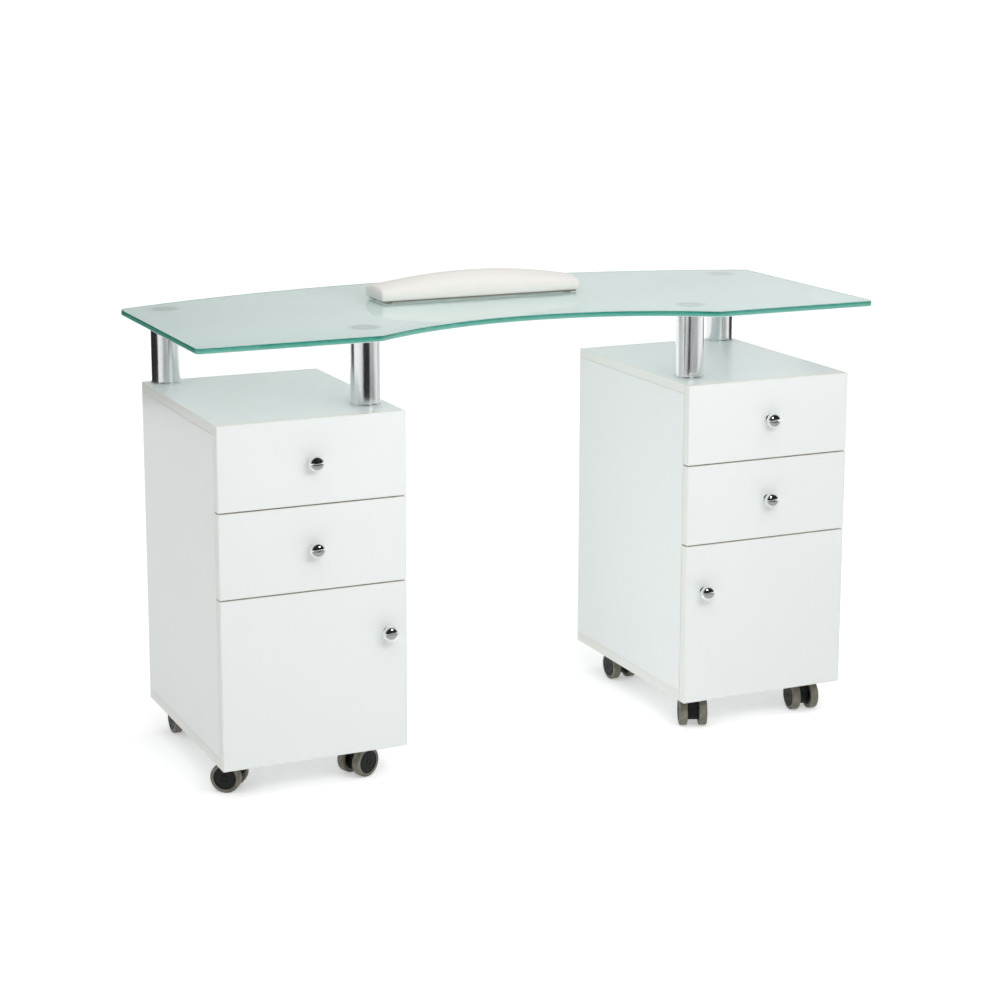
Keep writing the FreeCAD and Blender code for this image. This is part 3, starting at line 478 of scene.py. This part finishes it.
def lathe(shape, outline, centre, axis, segments, closed=False):
    """Turn an (along, radius) outline about an axis into the bmesh shape."""
    axis = Vector(axis).normalized()
    side = axis.orthogonal().normalized()
    other = axis.cross(side)
    rings = []
    for along, radius in outline:
        middle = Vector(centre) + axis * along
        if radius < ONE_POINT:
            rings.append([shape.verts.new(middle)])
            continue
        ring = []
        for index in range(segments):
            angle = 2 * math.pi * index / segments
            outward = side * math.cos(angle) + other * math.sin(angle)
            ring.append(shape.verts.new(middle + outward * radius))
        rings.append(ring)
    pairs = list(zip(rings, rings[1:]))
    if closed:
        pairs.append((rings[-1], rings[0]))
    for low, high in pairs:
        for index in range(segments):
            here, there = index, (index + 1) % segments
            corners = [(low, here), (low, there), (high, there), (high, here)]
            unique = list(dict.fromkeys(ring[spot % len(ring)] for ring, spot in corners))
            if len(unique) > 2:
                shape.faces.new(unique)


FLAT_UNDER, SHARP_OVER = math.radians(1), math.radians(30)
BOX_EDGE, FORK_EDGE, BOARD_EDGE, RING_EDGE = 0.5 * MM, 1.2 * MM, 0.4 * MM, 0.3 * MM


def softened(node, name, look, width, segments=2):
    """A CAD node's shape with its sharp edges rounded over."""
    shape = bmesh.new()
    shape.from_mesh(NODES[node].data)
    bmesh.ops.remove_doubles(shape, verts=shape.verts, dist=ONE_POINT)
    bmesh.ops.dissolve_limit(shape, angle_limit=FLAT_UNDER, verts=shape.verts, edges=shape.edges)
    joined = [edge for edge in shape.edges if edge.is_manifold]
    sharp = [edge for edge in joined if edge.calc_face_angle(0) > SHARP_OVER]
    bmesh.ops.bevel(
        shape, geom=sharp, offset=width, segments=segments, profile=0.5, affect="EDGES", clamp_overlap=True
    )
    return settle(from_bmesh(name, shape), name, look, BODY_OF[node], [node], smooth_under=50)


# ------------------------------------------------------------------- boards

def dress_nodes():
    """Give each node its look, and each single board edging tape to its own size."""
    for name, node in NODES.items():
        slot = node.material_slots[0].material.name
        look = LOOKS[slot]
        if slot == "white_melamine" and name != "mid_shelves":
            low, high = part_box(name)
            look = melamine(f"melamine_{name}", tuple(high - low))
        node.data.materials[0] = look


# -------------------------------------------------------------------- posts

GLUE_GAP, TOUCHING = 0.05 * MM, 0.01 * MM


def make_post_rings():
    """The flanges and discs with softened rims, the discs a film of glue below the glass."""
    rings = softened("post_flanges_and_discs", "post_rings", "satin_aluminium", RING_EDGE)
    for vert in rings.data.vertices:
        if vert.co.z > glass_low.z - TOUCHING:
            vert.co.z -= GLUE_GAP


# -------------------------------------------------------------------- knobs

# The knob's outline in millimetres, from its tip to its foot: (from the door or drawer, radius).
KNOB_HEAD = [(25, 0), (24.9, 2.6), (24.3, 5.8), (22.9, 9.0), (20.6, 11.5), (17.6, 12.9), (14.4, 12.8)]
KNOB_NECK = [(11.4, 11.1), (9.2, 8.4), (7.7, 6.3), (6.4, 5.3), (4.4, 5.0), (3.0, 5.2)]
KNOB_FOOT = [(2.0, 6.1), (0.9, 7.2), (0, 7.2)]
KNOB_END = (0, 0)


def make_knob(node):
    """A turned chrome knob: a flattened ball on a waisted neck."""
    low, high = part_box(node)
    middle = (low + high) / 2
    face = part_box(node.replace("_knob", "_front" if "drawer" in node else "_panel"))[0].y
    curve = flowing(KNOB_HEAD + KNOB_NECK + KNOB_FOOT, steps=5) + [KNOB_END]
    outline = [(along * MM, radius * MM) for along, radius in curve]
    shape = bmesh.new()
    lathe(shape, outline, (middle.x, face, middle.z), (0, -1, 0), 72)
    settle(from_bmesh(node, shape), f"{node}_turned", "chrome", BODY_OF[node], [node], smooth_under=60)


# ------------------------------------------------------------------ casters

WHEEL_NEAR, WHEEL_FAR = 10 * MM, 24 * MM
AXLE_RADIUS = 3 * MM
# Outlines in millimetres, from the near and the far end of a wheel: (along its axle, radius, rounding).
TREAD_NEAR = [(0, 19, 0), (0, 25, 2.2)]
TREAD_FAR = [(0, 25, 3.2), (0, 19, 0.6)]
HUB_NEAR = [(0.8, 0, 0), (0.8, 7, 0.3), (2.6, 7.6, 0.6), (2.6, 16.2, 0.6), (0.5, 17, 0.4), (0.5, 19.1, 0)]
HUB_FAR = [
    (-0.4, 19.1, 0),
    (-0.4, 17.9, 0.3),
    (-1.1, 17.4, 0.3),
    (-0.5, 15.5, 1.5),
    (-0.1, 6.2, 0.5),
    (-0.9, 5.6, 0.3),
    (-0.9, 4.8, 0.3),
    (-0.1, 4.2, 0.5),
    (0.1, 0, 0),
]


def wheel_outline(near, far, steps):
    corners = [
        (end + along * MM, radius * MM, rounding * MM)
        for end, spots in ((WHEEL_NEAR, near), (WHEEL_FAR, far))
        for along, radius, rounding in spots
    ]
    return rounded(corners, steps)


def make_wheels(caster):
    """Twin wheels: a grey tread with round shoulders on a dished black hub."""
    roll = JOINTS[f"{caster}_roll"]
    node = f"{caster}_caster_wheels"
    body = BODY_OF[node]
    tread, hub = wheel_outline(TREAD_NEAR, TREAD_FAR, 6), wheel_outline(HUB_NEAR, HUB_FAR, 4)
    treads, hubs = bmesh.new(), bmesh.new()
    for hand in (-1, 1):
        axis = Vector(roll["axis"]) * hand
        lathe(treads, tread, roll["pos_m"], axis, 96, closed=True)
        lathe(hubs, hub, roll["pos_m"], axis, 80)
    axle = [(-WHEEL_NEAR, 0), (-WHEEL_NEAR, AXLE_RADIUS), (WHEEL_NEAR, AXLE_RADIUS), (WHEEL_NEAR, 0)]
    lathe(hubs, axle, roll["pos_m"], roll["axis"], 32)
    settle(from_bmesh(node, treads), f"{caster}_treads", "grey_tread", body, [node], smooth_under=50)
    settle(from_bmesh(node, hubs), f"{caster}_hubs", "black_nylon", body, [node], smooth_under=50)


# ----------------------------------------------------------------- armrest

CUSHION_VOXEL = 4 * MM
CUSHION_SHRINK = 1.5 * MM
CUSHION_CAP = 5 * MM
CUSHION_FRAMES = 20
CUSHION_EDGE = 17 * MM
CUSHION_LIP, CUSHION_LIP_WIDTH = 1.3 * MM, 7 * MM
CUSHION_END_RISE = 5 * MM
CUSHION_CORNER = 7 * MM
CUSHION_ROWS, CUSHION_COLUMNS = 48, 16
CUSHION_CROWN_POWER, CUSHION_EDGE_POWER = 2.2, 4
CUSHION_PINNED = 1.5 * MM
CUSHION_CLEARANCE = 0.05 * MM
CUSHION_LIP_FULLNESS = 1.6


def cushion_blank(low, high):
    """The foam before it is covered: upright sides, round corners, a long crown."""
    half_x = (high.x - low.x) / 2 - CUSHION_SHRINK
    half_y = (high.y - low.y) / 2 - CUSHION_SHRINK
    middle_y = (low.y + high.y) / 2
    crown = high.z - low.z - CUSHION_EDGE
    shape = bmesh.new()
    spots = {}
    for i in range(CUSHION_ROWS + 1):
        for j in range(CUSHION_COLUMNS + 1):
            x = half_x * (2 * i / CUSHION_ROWS - 1)
            y = half_y * (2 * j / CUSHION_COLUMNS - 1)
            over_x = abs(x) - (half_x - CUSHION_CORNER)
            over_y = abs(y) - (half_y - CUSHION_CORNER)
            if over_x > 0 and over_y > 0:
                reach = max(math.hypot(over_x, over_y), CUSHION_CORNER)
                x -= math.copysign(over_x * (1 - CUSHION_CORNER / reach), x)
                y -= math.copysign(over_y * (1 - CUSHION_CORNER / reach), y)
            spots[i, j] = (x, y)

    def top_at(x, y):
        along, across = min(abs(x) / half_x, 1), min(abs(y) / half_y, 1)
        rise = CUSHION_END_RISE + (crown - CUSHION_END_RISE) * (1 - along ** 2)
        eased = rise * (1 - across ** CUSHION_CROWN_POWER) - CUSHION_SHRINK * across ** CUSHION_EDGE_POWER
        return low.z + CUSHION_EDGE + eased

    def sheet(level):
        verts = {}
        for key, (x, y) in spots.items():
            verts[key] = shape.verts.new((x, middle_y + y, level(x, y)))
        for i in range(CUSHION_ROWS):
            for j in range(CUSHION_COLUMNS):
                corners = [(i, j), (i + 1, j), (i + 1, j + 1), (i, j + 1)]
                shape.faces.new([verts[corner] for corner in corners])
        return verts

    top = sheet(top_at)
    bottom = sheet(lambda x, y: low.z + CUSHION_SHRINK * 0.3)
    around = (
        [(i, 0) for i in range(CUSHION_ROWS)]
        + [(CUSHION_ROWS, j) for j in range(CUSHION_COLUMNS)]
        + [(i, CUSHION_COLUMNS) for i in range(CUSHION_ROWS, 0, -1)]
        + [(0, j) for j in range(CUSHION_COLUMNS, 0, -1)]
    )
    for a, b in zip(around, around[1:] + around[:1]):
        shape.faces.new([bottom[a], bottom[b], top[b], top[a]])
    return from_bmesh("cushion_blank", shape)


def apply_modifiers(piece):
    depsgraph = bpy.context.evaluated_depsgraph_get()
    mesh = bpy.data.meshes.new_from_object(piece.evaluated_get(depsgraph))
    piece.modifiers.clear()
    piece.data = mesh


def inflate(piece, floor):
    """Blow the cover up against its own stretch, then hold each point within the cap."""
    start = [vert.co.copy() for vert in piece.data.vertices]
    pinned = piece.vertex_groups.new(name="pinned")
    held = [vert.index for vert in piece.data.vertices if vert.co.z < floor + CUSHION_PINNED]
    pinned.add(held, 1.0, "REPLACE")
    cloth = piece.modifiers.new("cover", "CLOTH")
    cloth.settings.quality = 6
    cloth.settings.mass = 0.2
    cloth.settings.use_pressure = True
    cloth.settings.uniform_pressure_force = 4
    cloth.settings.vertex_group_mass = "pinned"
    cloth.settings.effector_weights.gravity = 0
    cloth.point_cache.frame_start, cloth.point_cache.frame_end = 1, CUSHION_FRAMES
    scene = bpy.context.scene
    for number in range(1, CUSHION_FRAMES + 1):
        scene.frame_set(number)
    apply_modifiers(piece)
    scene.frame_set(1)
    for vert, before in zip(piece.data.vertices, start):
        moved = vert.co - before
        if moved.length > CUSHION_CAP:
            vert.co = before + moved * (CUSHION_CAP / moved.length)


def make_cushion():
    """The armrest's vinyl cushion, blown up by cloth simulation."""
    low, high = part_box("armrest_cushion")
    cushion = cushion_blank(low, high)
    remesh = cushion.modifiers.new("even", "REMESH")
    remesh.mode = "VOXEL"
    remesh.voxel_size = CUSHION_VOXEL
    smooth = cushion.modifiers.new("ease", "SMOOTH")
    smooth.factor, smooth.iterations = 0.5, 1
    apply_modifiers(cushion)
    inflate(cushion, low.z)
    finer = cushion.modifiers.new("finer", "SUBSURF")
    finer.levels = finer.render_levels = 1
    apply_modifiers(cushion)
    half_x, half_y, middle_y = (high.x - low.x) / 2, (high.y - low.y) / 2, (low.y + high.y) / 2
    for vert in cushion.data.vertices:
        vert.co.z = max(vert.co.z, low.z + CUSHION_CLEARANCE)
        rim = min(half_x - abs(vert.co.x), half_y - abs(vert.co.y - middle_y))
        near_rim = max(0, 1 - rim / CUSHION_LIP_WIDTH)
        near_floor = max(0, 1 - (vert.co.z - low.z) / CUSHION_EDGE)
        vert.co.z -= CUSHION_LIP * min(1, CUSHION_LIP_FULLNESS * near_rim * near_floor)
    settle(cushion, "armrest_cover", "white_vinyl", "armrest", ["armrest_cushion"], smooth_under=180)


# ---------------------------------------------------------------- the studio

# The camera's angles are in radians, its lens in millimetres.
CAMERA_SPOT = (-1.5985, -3.5429, 1.3206)
CAMERA_YAW = 0.4290
CAMERA_PITCH = 0.1932
CAMERA_ROLL = -0.0024
CAMERA_LENS = 82.90
CAMERA_SHIFT_Y = -0.1


def make_camera():
    data = bpy.data.cameras.new("camera")
    data.lens = CAMERA_LENS
    data.shift_y = CAMERA_SHIFT_Y
    data.clip_start, data.clip_end = 0.05, 200
    camera = link("camera", data)
    yaw = Matrix.Rotation(-CAMERA_YAW, 4, "Z")
    pitch = Matrix.Rotation(math.pi / 2 - CAMERA_PITCH, 4, "X")
    roll = Matrix.Rotation(-CAMERA_ROLL, 4, "Z")
    camera.matrix_world = Matrix.Translation(CAMERA_SPOT) @ yaw @ pitch @ roll
    bpy.context.scene.camera = camera


def softbox(name, spot, target, size, power, mirrored):
    """A rectangular lamp that either lights matt surfaces or is only mirrored in glossy ones."""
    data = bpy.data.lights.new(name, "AREA")
    data.shape = "RECTANGLE"
    data.size, data.size_y = size
    data.energy = power
    light = link(name, data)
    aim = (Vector(target) - Vector(spot)).to_track_quat("-Z", "Y")
    light.matrix_world = Matrix.Translation(spot) @ aim.to_matrix().to_4x4()
    light.visible_diffuse = not mirrored
    light.visible_glossy = mirrored
    light.visible_camera = False


SUN_POWER = 1.32
SUN_SPREAD = math.radians(75)
SUN_TOWARDS = (0.05, 0.17, -0.98)
SKY_LIGHT = 0.38
FLOOR_GLOW, FLOOR_BOUNCE = 0.38, 0.13
ROOM_BEFORE, ROOM_BEHIND_LEFT, ROOM_BEHIND_RIGHT = 0.02, 0.56, 0.90
WORLD_TINT = (0.985, 1.0, 1.0, 1)
# Where glossy rays see a darker floor: (middle, half its width and depth, strength).
SHADE_SPOTS = [
    ((-0.5, -14.3), (9.0, 9.6), 1.0),
    ((0.0, -2.3), (2.4, 0.95), 0.93),
    ((0.0, -1.6), (2.4, 1.3), 0.72),
]
SHADE_COLOUR = (0.02, 0.02, 0.022)
FLOOR_REACH = 120
# Each lamp: name, place, what it points at, width and height, watts, mirrored or not.
LAMPS = [
    ("fronts", (0.0, -1.5, 1.2), (0, -0.2, 0.72), (1.4, 0.5), 9.5, False),
    ("knee_space", (-0.2, -0.1, 0.32), (0.3, -0.05, 0.32), (0.5, 0.5), 0.42, False),
    ("window", (0.1, -1.3, 1.2), (0.2, -0.2, 0.5), (0.42, 0.42), 3.5, True),
]
CARD_BOTTOM, CARD_TOP = 0.52, 0.72
# Each dark card: name, post, where on the post it starts and ends, how far off, shade.
CARDS = [
    ("card_left_outer", OUTER_POSTS[0], -0.97, -0.5, 0.35, (0.01, 0.01, 0.012)),
    ("card_left_inner", INNER_POSTS[0], -0.12, 0.30, 0.28, (0.01, 0.01, 0.012)),
    ("card_right_inner", INNER_POSTS[1], -0.07, 0.07, 0.28, (0.03, 0.03, 0.03)),
    ("card_right_outer", OUTER_POSTS[1], 0.75, 0.97, 0.35, (0.05, 0.035, 0.025)),
]


def make_floor():
    """A white floor without end. For glossy rays only, dark patches are painted on it, standing in for a darker
    studio beyond the white paper.
    """
    corners = [(x * FLOOR_REACH, y * FLOOR_REACH, 0) for x, y in ((-1, -1), (1, -1), (1, 1), (-1, 1))]
    floor = mesh_object("floor", corners, [(0, 1, 2, 3)])
    tree = Tree("white_floor")
    colour = tree.tint(tree.noise(1.5, 3), (0.90, 0.905, 0.90), (0.915, 0.915, 0.91))
    spot = tree.split("Object")
    shade = 0.0
    for (x, y), (reach_x, reach_y), strength in SHADE_SPOTS:
        across = tree.math("DIVIDE", tree.math("SUBTRACT", spot["X"], x), reach_x)
        along = tree.math("DIVIDE", tree.math("SUBTRACT", spot["Y"], y), reach_y)
        reach = tree.math("MAXIMUM", tree.math("ABSOLUTE", across), tree.math("ABSOLUTE", along))
        shade = tree.math("MAXIMUM", shade, tree.between(reach, strength, 0.0, 0.85, 1.1))
    # Painted reflection: only glossy rays see the dark patches, which also dim the floor's glow there.
    path = tree.add("ShaderNodeLightPath").outputs
    shade = tree.math("MULTIPLY", shade, path["Is Glossy Ray"])
    colour = tree.tint(shade, colour, SHADE_COLOUR)
    glow = tree.between(path["Is Diffuse Ray"], FLOOR_GLOW, FLOOR_BOUNCE)
    glow = tree.math("MULTIPLY", glow, tree.math("SUBTRACT", 1.0, shade))
    paper = tree.shader(base_color=colour, roughness=0.9, emission_color=(1, 1, 1), emission_strength=glow)
    floor.data.materials.append(tree.finish(paper))


class WorldTree(Tree):
    """The world's node tree."""

    def __init__(self, world):
        world.use_nodes = True
        self.nodes, self.links = world.node_tree.nodes, world.node_tree.links
        self.nodes.clear()
        self.coordinates = self.add("ShaderNodeTexCoord")

    def mix(self, factor, first, second):
        made = self.add("ShaderNodeMix")
        for key, value in (("Factor", factor), ("A", first), ("B", second)):
            self.feed(made.inputs[key], value)
        return made.outputs["Result"]


def make_room():
    """White to the camera, pale to matt surfaces, and dim behind the camera to glossy ones."""
    world = bpy.data.worlds.new("studio")
    bpy.context.scene.world = world
    tree = WorldTree(world)
    direction = tree.split("Generated")
    behind = tree.between(direction["X"], ROOM_BEHIND_LEFT, ROOM_BEHIND_RIGHT, 0.25, 0.52)
    mirrored = tree.between(direction["Y"], ROOM_BEFORE, behind, -0.45, 0.05)
    mirrored.node.interpolation_type = "SMOOTHSTEP"
    path = tree.add("ShaderNodeLightPath").outputs
    strength = tree.mix(path["Is Glossy Ray"], SKY_LIGHT, mirrored)
    strength = tree.mix(path["Is Camera Ray"], strength, 1.0)
    background = tree.add("ShaderNodeBackground", {"Color": WORLD_TINT, "Strength": strength})
    tree.add("ShaderNodeOutputWorld", {"Surface": background.outputs[0]})


def mirrored_spot(post, share, reach):
    """Where the camera's ray gets to after a post mirrors it, share (-1 to 1) across its width."""
    sight = (post - Vector(CAMERA_SPOT)).to_2d().normalized()
    right = Vector((sight.y, -sight.x))
    normal = right * share - sight * math.sqrt(1 - share ** 2)
    return post.to_2d() + (sight - 2 * sight.dot(normal) * normal) * reach


def make_dark_card(name, post, first, last, reach, shade):
    """A dark card that only metal sees, mirrored between two shares of a post's width."""
    near, far = mirrored_spot(post, first, reach), mirrored_spot(post, last, reach)
    corners = [(*near, CARD_BOTTOM), (*far, CARD_BOTTOM), (*far, CARD_TOP), (*near, CARD_TOP)]
    card = mesh_object(name, corners, [(0, 1, 2, 3)])
    tree = Tree(name)
    card.data.materials.append(tree.finish(tree.shader(base_color=shade, roughness=1.0)))
    card.visible_camera = card.visible_diffuse = False
    card.visible_shadow = card.visible_transmission = False


def make_studio():
    """An even overhead light, the lamps, and dark cards for the posts to mirror."""
    bpy.context.scene.view_settings.view_transform = "Standard"
    make_floor()
    make_room()
    data = bpy.data.lights.new("overhead", "SUN")
    data.energy, data.angle = SUN_POWER, SUN_SPREAD
    sun = link("overhead", data)
    sun.rotation_mode = "QUATERNION"
    sun.rotation_quaternion = Vector(SUN_TOWARDS).to_track_quat("-Z", "Y")
    sun.visible_glossy = False
    for lamp in LAMPS:
        softbox(*lamp)
    for card in CARDS:
        make_dark_card(*card)


make_camera()
make_studio()
dress_nodes()
for side in SIDES:
    for front in ("upper_drawer", "lower_drawer", "door"):
        make_knob(f"{side}_{front}_knob")
    for level in ("upper", "lower"):
        node = f"{side}_{level}_drawer_box"
        softened(node, f"{node}_boards", "drawer_board", BOX_EDGE)
for caster in CASTERS:
    make_wheels(caster)
    softened(f"{caster}_caster_body", f"{caster}_fork", "black_nylon", FORK_EDGE, segments=3)
make_post_rings()
softened("armrest_base_board", "armrest_board", "white_board", BOARD_EDGE)
make_cushion()
